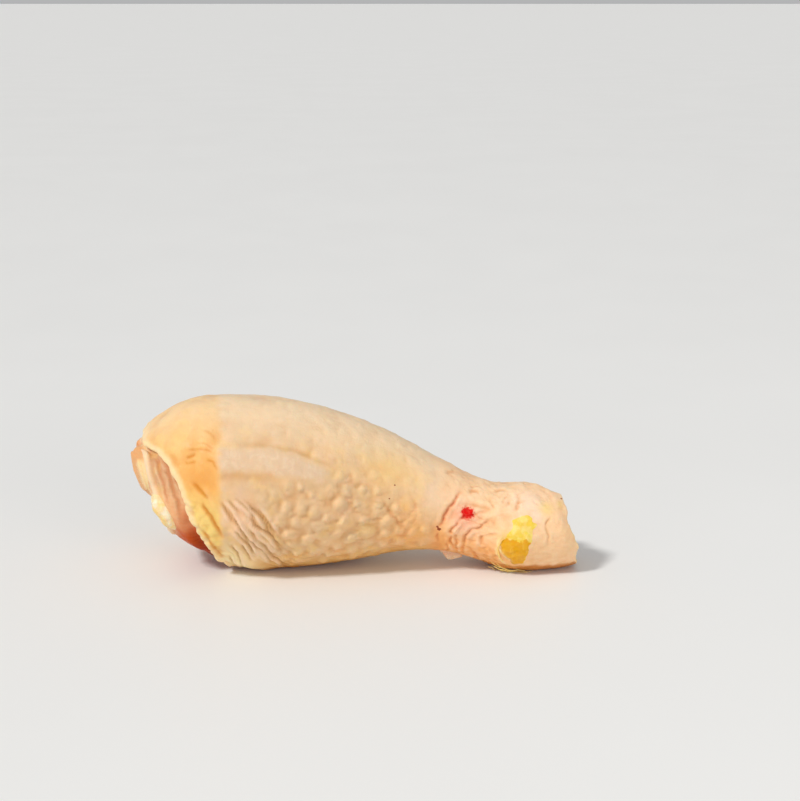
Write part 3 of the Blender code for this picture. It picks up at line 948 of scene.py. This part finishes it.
def add_meat_flushes(meat):
    """Dark red muscle under a paler knee, painted shade on the knee's upper part and at the red muscle's
    bottom, and the marbled cut at the hock.
    """
    along = meat.along
    degrees = meat.degrees
    meat.mark("torn", (1 - step(0.024, 0.034, along)) * bell(degrees - 50, 44))
    # Painted shade on the upper knee, under the skin's edge.
    meat.mark("dusky", step(0.046, 0.062, along) * window(-16, 12, 60, 90, degrees))
    lowness = 1 - step(-47, -17, degrees + 12 * meat.rough(7, 205))
    lowness = np.maximum(lowness, step(150, 178, np.abs(degrees)))
    meat.mark("red", lowness * step(0.092, 0.128, along))
    # The red muscle's deep red at its bottom, darkened further as painted shade under the skin's edge.
    meat.mark("deep_red_and_painted_shade", lowness * step(0.115, 0.172, along) * (1 - step(-52, -20, degrees)))
    cut = np.zeros(along.shape)
    cut[DOME_ROWS + UNDER_ROWS - 1:] = 1
    meat.mark("cut", cut)
    cells = meat.rough(2.4, 206)
    meat.mark("marbling", cut * step(-0.25, 0.70, cells))
    meat.rise += 0.35 * cut * cells


def make_meat():
    """The meat, closed at each end by a fan of faces round a middle point."""
    meat = start_meat()
    add_meat_relief(meat)
    add_meat_flushes(meat)
    rings = lie_down(meat.moved())
    points = np.concatenate([rings.reshape(-1, 3), rings[[0, -1]].mean(axis=1)])
    faces = ring_faces(len(rings), MEAT_AROUND)
    tip = len(points) - 2
    last = tip - MEAT_AROUND
    for column in range(MEAT_AROUND):
        following = (column + 1) % MEAT_AROUND
        faces.append([tip, column, following])
        faces.append([tip + 1, last + following, last + column])
    masks = {name: np.append(values, values[[0, -1], 0]) for name, values in meat.masks.items()}
    return mesh_object("drumstick_meat", points, faces, masks)


# ---------------------------------------------------------------- bone, fat and loose skin


def make_bone():
    """The shin bone, with the knee's two shallow facets and the hock's grooved head."""
    row = np.linspace(0, 1, BONE_ROWS)[:, None]
    first, last = BONE_RADII[0][0], BONE_RADII[-1][0]
    along = np.interp(row, (0, 0.35, 0.55, 1), (first, 0.12, 0.84, last))
    along += 0.0005 * np.sin(np.pi * row)
    angle = np.arange(LUMP_AROUND) * 2 * np.pi / LUMP_AROUND
    radius = smooth_through(BONE_RADII, along)
    knee = 1 - step(0.05, 0.16, along)
    split = CONDYLE_SPLIT * step(0.86, 0.95, along) * np.cos(2 * angle)
    side = -radius * (1 - 0.10 * knee - split) * np.cos(angle)
    up = radius * (1 + 0.04 * knee - split) * np.sin(angle)
    face = 1 - step(0.020, 0.060, along)
    facet = bell(np.abs(side) - 4.2, 2.6) * face
    ahead = 0.9 * facet - 0.5 * bell(side, 1.5) * face - KNEE_LEAN * knee * (side + up)
    ahead -= 0.5 * step(0.945, 0.985, along) * bell(side, 1.6)
    middle = np.array(BONE_KNEE) + along * np.array(BONE_HOCK - BONE_KNEE)
    middle[:, 0] = (along[:, 0] - 0.5) * LENGTH
    points = middle[:, None] + np.stack([ahead, side, up], axis=-1) * MM
    bone = Sheet(np.repeat(along, LUMP_AROUND, axis=1), np.degrees(angle), points)
    bone.rise += 0.16 * bone.rough(4, 301)
    bone.mark("facet", facet)
    torn = window(-3.6, -2.2, 0.5, 3.0, side) + bell(side - 6.5, 2.6)
    torn += 1.2 * step(3.6, 6.0, up) * bell(side + 3.0, 4.0)
    bone.mark("torn", torn * face * step(-1.3, -0.2, bone.rough(3.5, 302)))
    bone.mark("gristle", np.maximum(1 - step(0.075, 0.10, along), step(0.90, 0.93, along)))
    points = lie_down(bone.moved()).reshape(-1, 3)
    return mesh_object("drumstick_bone", points, tube_faces(BONE_ROWS, LUMP_AROUND), bone.masks)


def make_fat():
    """A lobed lump of fat by the knee, white where it was torn."""
    low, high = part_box("knee_fat")
    polar = np.linspace(0.02, np.pi - 0.02, FAT_ROWS)[:, None]
    angle = np.arange(LUMP_AROUND) * 2 * np.pi / LUMP_AROUND
    ball = np.stack([np.sin(polar) * np.cos(angle), np.sin(polar) * np.sin(angle),
                     np.cos(polar) + 0 * angle], axis=-1)
    turn = np.array(FAT_AXIS.to_track_quat("Z", "Y").to_matrix()).T
    points = ball * FAT_RADII @ turn + np.array((low + high) / 2)
    lobes = 0.40 * rough(points, 3.0, 311) + 0.05 * rough(points, 1.1, 312)
    points = lie_down(points + ball @ turn * MM * lobes[..., None])
    masks = {"white": step(-0.1, 0.5, rough(points, 2.6, 313)),
             "yellow": step(0.0, 0.5, rough(points, 3.4, 314))}
    faces = tube_faces(FAT_ROWS, LUMP_AROUND)
    return mesh_object("drumstick_knee_fat", points.reshape(-1, 3), faces, masks)


def make_shred():
    """A shred of clear skin that hangs under the ankle, thinning to its torn edge."""
    root = trace(SHRED_ROOT, 0.3, 321, skin_point)
    share = np.linspace(0, 1, SHRED_COLUMNS)
    top = np.stack([np.interp(share, np.linspace(0, 1, len(root)), axis) for axis in root.T], axis=-1)
    drop = np.stack([0.8 - 1.2 * share, -0.6 + 0 * share, smooth_through(SHRED_DROPS, share)], axis=-1)
    down = np.linspace(-0.25, 1, SHRED_ROWS)[:, None]
    sheet = top + drop * down[..., None] * MM
    sheet[..., 1] += 0.5 * MM * rough(sheet, 1.8, 322) * down
    normal = unit(np.cross(np.gradient(sheet, axis=0), np.gradient(sheet, axis=1)))
    thick = normal * 0.25 * MM * (1.25 - down[..., None])
    loop = np.concatenate([sheet - thick, (sheet + thick)[:, ::-1]], axis=1)
    corners = 2 * SHRED_COLUMNS
    last = (SHRED_ROWS - 1) * corners
    faces = ring_faces(SHRED_ROWS, corners)
    for column in range(SHRED_COLUMNS - 1):
        strip = [column, column + 1, corners - 2 - column, corners - 1 - column]
        faces += [strip[::-1], [last + corner for corner in strip]]
    masks = {"thin": np.repeat(down, corners)}
    return mesh_object("ankle_shred", lie_down(loop).reshape(-1, 3), faces, masks)


def off_the_skin(lift):
    """The surface that runs a number of millimetres outside the skin's."""
    return lambda along, degrees: body(along, degrees, curl(along, degrees) - lift * MM)


def make_threads():
    """Threads of torn scale skin, loose along the underside of the hock."""
    turn = -np.arange(THREAD_SIDES)[:, None] * 2 * np.pi / THREAD_SIDES
    points = np.empty((0, 3))
    faces = []
    for number, (path, lift) in enumerate(THREADS):
        line = trace(path, 0.35, 330 + number, off_the_skin(lift))
        ahead = unit(np.gradient(line, axis=0))
        out = unit(np.cross(ahead, (0.3, 0.2, 1.0)))
        over = np.cross(ahead, out)
        girth = 0.22 * MM * np.sin(np.pi * np.linspace(0.06, 0.94, len(line)))[:, None, None]
        tube = line[:, None] + girth * (out[:, None] * np.cos(turn) + over[:, None] * np.sin(turn))
        start = len(points)
        faces += [[start + corner for corner in face] for face in tube_faces(len(line), THREAD_SIDES)]
        points = np.concatenate([points, tube.reshape(-1, 3)])
    points = lie_down(points + (0, 0, 0.1 * MM))
    return mesh_object("scale_threads", points, faces, {"thin": np.ones(len(points))})


# ---------------------------------------------------------------- materials


class Paint:
    """The node graph of one material, built up in layers over its first colour."""

    def __init__(self, name, colour):
        self.material = bpy.data.materials.new(name)
        self.material.use_nodes = True
        self.tree = self.material.node_tree
        self.shader = self.tree.nodes["Principled BSDF"]
        self.place = self.node("TexCoord", {}).outputs["Object"]
        self.colour = (*colour, 1)

    def wire(self, sockets, values):
        """Links each value that comes from a node, and sets the others."""
        for key, value in values.items():
            if isinstance(value, bpy.types.NodeSocket):
                self.tree.links.new(value, sockets[key])
            else:
                sockets[key].default_value = value

    def node(self, kind, values, **settings):
        node = self.tree.nodes.new("ShaderNode" + kind)
        for name, setting in settings.items():
            setattr(node, name, setting)
        self.wire(node.inputs, values)
        return node

    def mask(self, name):
        return self.node("Attribute", {}, attribute_name=name).outputs["Fac"]

    def maths(self, operation, first, second):
        return self.node("Math", {0: first, 1: second}, operation=operation).outputs[0]

    def both(self, first, second):
        """Where two masks meet."""
        return self.maths("MULTIPLY", first, second)

    def spread(self, value, low, high):
        """0 below low, 1 above high, and smooth between."""
        values = {"Value": value, "From Min": low, "From Max": high}
        return self.node("MapRange", values, interpolation_type="SMOOTHSTEP").outputs["Result"]

    def between(self, value, low, high):
        """A mask moved to run from low to high."""
        return self.node("MapRange", {"Value": value, "To Min": low, "To Max": high}).outputs["Result"]

    def grain(self, size, detail=3, low=0.0, high=1.0, warp=0.0, stretch=(1, 1, 1)):
        """Noise with lumps of a size in millimetres, spread between 0 and 1."""
        place = self.node("Mapping", {"Vector": self.place, "Scale": stretch}).outputs["Vector"]
        values = {"Vector": place, "Scale": 1 / (size * MM), "Detail": detail, "Distortion": warp}
        return self.spread(self.node("TexNoise", values).outputs["Fac"], low, high)

    def lines(self, size, width, stretch):
        """0 along thin lines that wander about a size apart, and 1 between them."""
        centred = self.maths("SUBTRACT", self.grain(size, 2, 0.2, 0.8, 0.3, stretch), 0.5)
        return self.spread(self.maths("ABSOLUTE", centred, 0.0), 0.0, width)

    def torn(self, mask, size, low, high):
        """A mask cut off between two levels, along an edge that noise makes uneven."""
        uneven = self.between(self.grain(size), -0.25, 0.25)
        return self.spread(self.maths("ADD", self.mask(mask), uneven), low, high)

    def layer(self, amount, colour, strength, blend="MIX"):
        """Lays a colour over what is there, by a mask or the name of one."""
        if isinstance(amount, str):
            amount = self.mask(amount)
        values = {0: self.both(amount, strength), 6: self.colour, 7: (*colour, 1)}
        self.colour = self.node("Mix", values, data_type="RGBA", blend_type=blend).outputs[2]

    def bump(self, height, distance, strength, under=None):
        """A fine relief, on top of another if there is one."""
        values = {"Height": height, "Distance": distance * MM, "Strength": strength}
        if under is not None:
            values["Normal"] = under
        return self.node("Bump", values).outputs["Normal"]

    def finish(self, roughness, normal, scatter, reach, specular, coat=0.0):
        """Fills the shader's sockets: what varies is linked, and what is even is a constant."""
        self.wire(self.shader.inputs, {
            "Base Color": self.colour,
            "Roughness": roughness,
            "Normal": normal,
            "Subsurface Weight": scatter,
            "Subsurface Radius": (1.0, 0.42, 0.22),
            "Subsurface Scale": reach * MM,
            "Specular IOR Level": specular,
            "Coat Weight": coat,
            "Coat Roughness": 0.18,
        })
        return self.material


def skin_material():
    paint = Paint("raw_skin", (0.860, 0.555, 0.280))
    paint.layer(paint.grain(9, 4, 0.42, 0.60), (0.71, 0.50, 0.28), 0.62)
    paint.layer(paint.grain(5.5, 4, 0.50, 0.70), (0.92, 0.60, 0.22), 0.60)
    paint.layer(paint.grain(3.4, 4, 0.48, 0.75), (0.91, 0.60, 0.38), 0.55)
    # painted shade under the calf
    paint.layer("low", (0.74, 0.37, 0.05), 0.80)
    # the fat's lemon cream under the knee end, brightened as painted light from below
    paint.layer("cream", (1.0, 0.84, 0.46), 0.95)
    paint.layer("top", (0.92, 0.72, 0.49), 0.70)
    paint.layer("golden", (0.88, 0.60, 0.25), 0.60)
    # darker mauve-tan patches; the one below the tendon strip is painted shade
    paint.layer("dusky", (0.64, 0.43, 0.27), 0.70)
    paint.layer("ankle", (0.97, 0.63, 0.36), 0.85)
    paint.layer("ruddy", (0.95, 0.41, 0.10), 0.75)
    paint.layer("pink", (0.97, 0.62, 0.46), 0.65)
    # painted shade in the dip beside each feather bump
    paint.layer("painted_pit_shade", (0.66, 0.40, 0.18), 0.50)
    # painted highlight on the top of each feather bump
    paint.layer("bump", (0.90, 0.64, 0.34), 0.14)
    plateau = paint.mask("plateau")
    paint.layer(plateau, (0.72, 0.53, 0.375), 0.66)
    paint.layer(paint.both(plateau, paint.grain(2.6, 4, 0.44, 0.64, 0.5)), (0.90, 0.70, 0.50), 0.30)
    # painted highlight on the swelling folds
    paint.layer("painted_fold_highlight", (0.97, 0.69, 0.50), 0.50)
    paint.layer("shade", (0.44, 0.22, 0.06), 0.70)
    paint.layer("amber_line", (0.60, 0.41, 0.19), 0.46)
    band = paint.mask("band")
    paint.layer(band, (0.88, 0.475, 0.145), 0.90)
    paint.layer(paint.both(band, paint.grain(5.0, 4, 0.42, 0.66, 0.6)), (0.95, 0.66, 0.26), 0.62)
    paint.layer(paint.both(band, paint.mask("top")), (0.95, 0.64, 0.28), 0.50)
    paint.layer(paint.both(band, paint.mask("saturated")), (0.84, 0.37, 0.07), 0.75)
    paint.layer(paint.both(band, paint.mask("lemon")), (0.94, 0.69, 0.22), 0.85)
    # the fat's own orange streaks, and painted shade in grooves of the band and the rim's puckers
    paint.layer("streak", (0.68, 0.25, 0.02), 0.80)
    paint.layer("rim", (0.96, 0.72, 0.40), 0.85)
    paint.layer("pale", (0.95, 0.72, 0.57), 0.70)
    paint.layer("yellowish", (0.95, 0.68, 0.22), 0.70)
    # painted shade in the creases and wrinkles of the ankle and the hock
    paint.layer("crease", (0.68, 0.30, 0.12), 0.50)
    paint.layer("red_crease", (0.74, 0.14, 0.06), 0.60)
    # painted highlight along the ridges of the ankle and the hock
    paint.layer("painted_ridge_highlight", (0.99, 0.77, 0.54), 0.32)
    cuticle = paint.torn("cuticle", 1.4, 0.44, 0.56)
    streaks = paint.grain(1.6, 3, 0.50, 0.75, 0.6, (1, 1, 0.3))
    paint.layer(cuticle, (0.88, 0.63, 0.060), 0.95)
    paint.layer(paint.both(cuticle, paint.grain(2.4, 3, 0.42, 0.6)), (0.95, 0.76, 0.27), 0.70)
    paint.layer(paint.torn("amber", 1.2, 0.40, 0.60), (0.79, 0.37, 0.003), 0.94)
    paint.layer(paint.both(cuticle, streaks), (0.92, 0.58, 0.07), 0.50)
    paint.layer(paint.torn("margin", 1.0, 0.45, 0.60), (0.55, 0.22, 0.01), 0.55)
    paint.layer("film", (0.98, 0.78, 0.38), 0.80)
    # painted shadow where the skin meets the table
    paint.layer("painted_contact_shadow", (0.56, 0.18, 0.015), 0.90)
    paint.layer("halo", (0.94, 0.26, 0.12), 0.45)
    paint.layer("edge", (0.96, 0.73, 0.40), 0.80)
    # painted shade in the hollows of the relief
    paint.layer("painted_hollow_shade", (0.82, 0.60, 0.40), 0.42, "MULTIPLY")
    # painted highlight on the peaks of the relief
    paint.layer("painted_peak_highlight", (0.96, 0.76, 0.52), 0.08)
    blood = paint.torn("blood", 0.7, 0.26, 0.62)
    paint.layer(blood, (0.72, 0.001, 0.0005), 1.0)
    paint.layer(paint.torn("speck", 0.6, 0.46, 0.60), (0.27, 0.035, 0.008), 0.95)
    fine = paint.lines(2.2, 0.16, (1, 1, 0.7))
    # painted shade along the fine wrinkle lines
    paint.layer(paint.maths("SUBTRACT", 1.0, fine), (0.72, 0.44, 0.22), 0.06)
    normal = paint.bump(paint.grain(0.45, 4, 0.2, 0.8, 0.4), 0.08, 0.25)
    normal = paint.bump(paint.grain(1.6, 3, 0.25, 0.75, 0.7), 0.18, 0.15, normal)
    normal = paint.bump(fine, 0.14, 0.17, normal)
    roughness = paint.between(paint.grain(2.2, 4, 0.35, 0.7), 0.36, 0.52)
    return paint.finish(roughness, normal, paint.between(blood, 0.16, 0.0), 0.5, 0.17)


def meat_material():
    paint = Paint("raw_meat", (0.82, 0.44, 0.22))
    fibres = paint.grain(1.1, 4, 0.38, 0.66, 0.5, (0.22, 1, 1))
    paint.layer(paint.grain(6, 3, 0.4, 0.65), (0.84, 0.44, 0.20), 0.50)
    paint.layer(fibres, (0.92, 0.60, 0.34), 0.30)
    # painted shade on the upper knee, under the skin's edge
    paint.layer("dusky", (0.52, 0.29, 0.15), 0.58)
    paint.layer("red", (0.60, 0.090, 0.010), 0.98)
    # deep red at the muscle's bottom, with painted shade under the skin's edge
    paint.layer("deep_red_and_painted_shade", (0.30, 0.022, 0.002), 0.85)
    paint.layer(paint.both(paint.mask("red"), fibres), (0.70, 0.17, 0.03), 0.18)
    # painted shade in the grooves beside the sheaths
    paint.layer("painted_seam_shade", (0.58, 0.18, 0.06), 0.50)
    paint.layer("cut", (0.80, 0.40, 0.22), 0.80)
    paint.layer("marbling", (0.92, 0.66, 0.44), 0.65)
    paint.layer("yellow_fat", (0.95, 0.64, 0.20), 0.80)
    paint.layer("sheath", (0.91, 0.69, 0.44), 0.90)
    paint.layer("torn", (0.78, 0.36, 0.14), 0.92)
    normal = paint.bump(fibres, 0.12, 0.35)
    normal = paint.bump(paint.grain(0.5, 3, 0.3, 0.7), 0.06, 0.5, normal)
    roughness = paint.between(paint.grain(2.0, 3, 0.35, 0.7), 0.30, 0.46)
    return paint.finish(roughness, normal, 0.16, 0.8, 0.07, coat=0.01)


def bone_material():
    paint = Paint("gristle_and_bone", (0.88, 0.60, 0.34))
    paint.layer("gristle", (0.95, 0.70, 0.38), 0.90)
    paint.layer("facet", (0.94, 0.66, 0.28), 0.50)
    paint.layer(paint.grain(3.0, 4, 0.5, 0.75), (0.92, 0.56, 0.30), 0.30)
    paint.layer("torn", (0.76, 0.37, 0.15), 0.90)
    paint.layer(paint.grain(1.4, 4, 0.62, 0.75), (0.70, 0.24, 0.10), 0.20)
    normal = paint.bump(paint.grain(0.9, 4, 0.3, 0.7), 0.10, 0.5)
    roughness = paint.between(paint.grain(2.5, 3, 0.35, 0.7), 0.24, 0.40)
    return paint.finish(roughness, normal, 0.16, 0.8, 0.15, coat=0.02)


def fat_material():
    paint = Paint("knee_fat", (0.90, 0.70, 0.38))
    paint.layer("yellow", (0.92, 0.62, 0.20), 0.75)
    paint.layer("white", (0.94, 0.84, 0.64), 0.80)
    paint.layer(paint.grain(1.2, 4, 0.55, 0.75), (0.84, 0.52, 0.28), 0.35)
    normal = paint.bump(paint.grain(0.9, 3, 0.3, 0.7), 0.08, 0.4)
    roughness = paint.between(paint.grain(1.6, 3, 0.35, 0.7), 0.24, 0.40)
    return paint.finish(roughness, normal, 0.25, 1.4, 0.16, coat=0.02)


def film_material(name, colour, tint, see_through):
    """Thin wet skin, with the share of light that it lets through."""
    paint = Paint(name, colour)
    paint.layer(paint.grain(1.5, 4, 0.4, 0.7), tint, 0.6)
    paint.layer("thin", (0.97, 0.78, 0.44), 0.3)
    normal = paint.bump(paint.grain(0.8, 3, 0.3, 0.7), 0.06, 0.3)
    roughness = paint.between(paint.grain(1.6, 3, 0.35, 0.7), 0.24, 0.40)
    paint.shader.inputs["Transmission Weight"].default_value = see_through
    return paint.finish(roughness, normal, 0.20, 0.8, 0.3)


def table_material():
    paint = Paint("pale_table", (0.88, 0.88, 0.865))
    paint.layer(paint.grain(160, 2, 0.3, 0.7), (0.86, 0.86, 0.845), 0.5)
    normal = paint.bump(paint.grain(2.0, 2, 0.3, 0.7), 0.01, 0.2)
    roughness = paint.between(paint.grain(40, 2, 0.3, 0.7), 0.42, 0.50)
    return paint.finish(roughness, normal, 0.0, 1.0, 0.12)


# ---------------------------------------------------------------- studio


def make_table():
    """A pale flat table top that runs to the horizon, in cells that grow outwards."""
    side = np.sinh(np.linspace(-1, 1, TABLE_CELLS + 1) * 9) / np.sinh(9) * 900 * LENGTH
    x, y = np.meshgrid(side, side, indexing="ij")
    points = np.stack([x, y, 0 * x], axis=-1).reshape(-1, 3)
    row = np.arange(TABLE_CELLS)
    start = row[:, None] * (TABLE_CELLS + 1) + row
    quads = np.stack([start, start + TABLE_CELLS + 1, start + TABLE_CELLS + 2, start + 1], axis=-1)
    table = mesh_object("table", points, quads.reshape(-1, 4).tolist(), {})
    table.data.materials.append(table_material())


def stand(name, data):
    """A light or the camera, as an object in the scene."""
    obj = bpy.data.objects.new(name, data)
    bpy.context.scene.collection.objects.link(obj)
    return obj


def add_light(name, place, aim, size, watts, colour):
    """A soft box. Its places and sides are in lengths of the drumstick."""
    light = bpy.data.lights.new(name, "AREA")
    light.shape = "RECTANGLE"
    light.size, light.size_y = (side * LENGTH for side in size)
    light.energy = watts * (LENGTH / 0.14) ** 2
    light.color = colour
    obj = stand(name, light)
    obj.location = Vector(place) * LENGTH
    obj.rotation_euler = (Vector(aim) * LENGTH - obj.location).to_track_quat("-Z", "Y").to_euler()


def light_studio():
    sun = bpy.data.lights.new("soft_sky", "SUN")
    sun.energy = 1.85
    sun.angle = np.radians(9)
    sun.color = (1.0, 0.985, 0.96)
    stand("soft_sky", sun).rotation_euler = Vector((-0.55, -0.45, 0.75)).to_track_quat("Z", "Y").to_euler()
    add_light("front", (3.4, -5.2, 2.0), (0.2, 0, 0.2), (3.6, 2.4), 1.3, (1.0, 0.97, 0.93))
    add_light("fill", (-3.6, -4.6, 0.9), (-0.2, 0, 0.15), (2.8, 1.4), 0.4, (1.0, 0.98, 0.95))
    world = bpy.data.worlds.new("pale_room")
    bpy.context.scene.world = world
    world.use_nodes = True
    background = world.node_tree.nodes["Background"]
    background.inputs["Color"].default_value = (0.98, 0.985, 1.0, 1)
    background.inputs["Strength"].default_value = 0.46


def add_camera():
    """Looks a little down on the front, with the drumstick low and left in the frame."""
    camera = bpy.data.cameras.new("camera")
    camera.sensor_fit = "HORIZONTAL"
    camera.sensor_width = 36
    camera.lens = 72
    camera.clip_start = 0.1 * LENGTH
    camera.clip_end = 2000 * LENGTH
    obj = stand("camera", camera)
    obj.location = Vector((0.1003, -3.4157, 1.2257)) * LENGTH
    obj.rotation_euler = (np.radians(90 - 14), 0, 0)
    bpy.context.scene.camera = obj


def place(piece, material, slot, node=None):
    """Dresses a piece and hands it to the frame, in the place of a node if it has one."""
    piece.data.materials.append(material)
    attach(piece, "root")
    if node:
        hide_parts(node)


def main():
    place(make_skin(), skin_material(), "skin", "skin")
    place(make_meat(), meat_material(), "meat", "meat")
    place(make_bone(), bone_material(), "bone", "bone")
    place(make_fat(), fat_material(), "fat", "knee_fat")
    place(make_shred(), film_material("clear_shred", (0.90, 0.64, 0.46), (0.86, 0.52, 0.32), 0.15), "skin")
    place(make_threads(), film_material("scale_film", (0.96, 0.66, 0.14), (0.88, 0.50, 0.06), 0.0), "skin")
    make_table()
    light_studio()
    add_camera()
    bpy.context.scene.view_settings.view_transform = "Standard"


main()
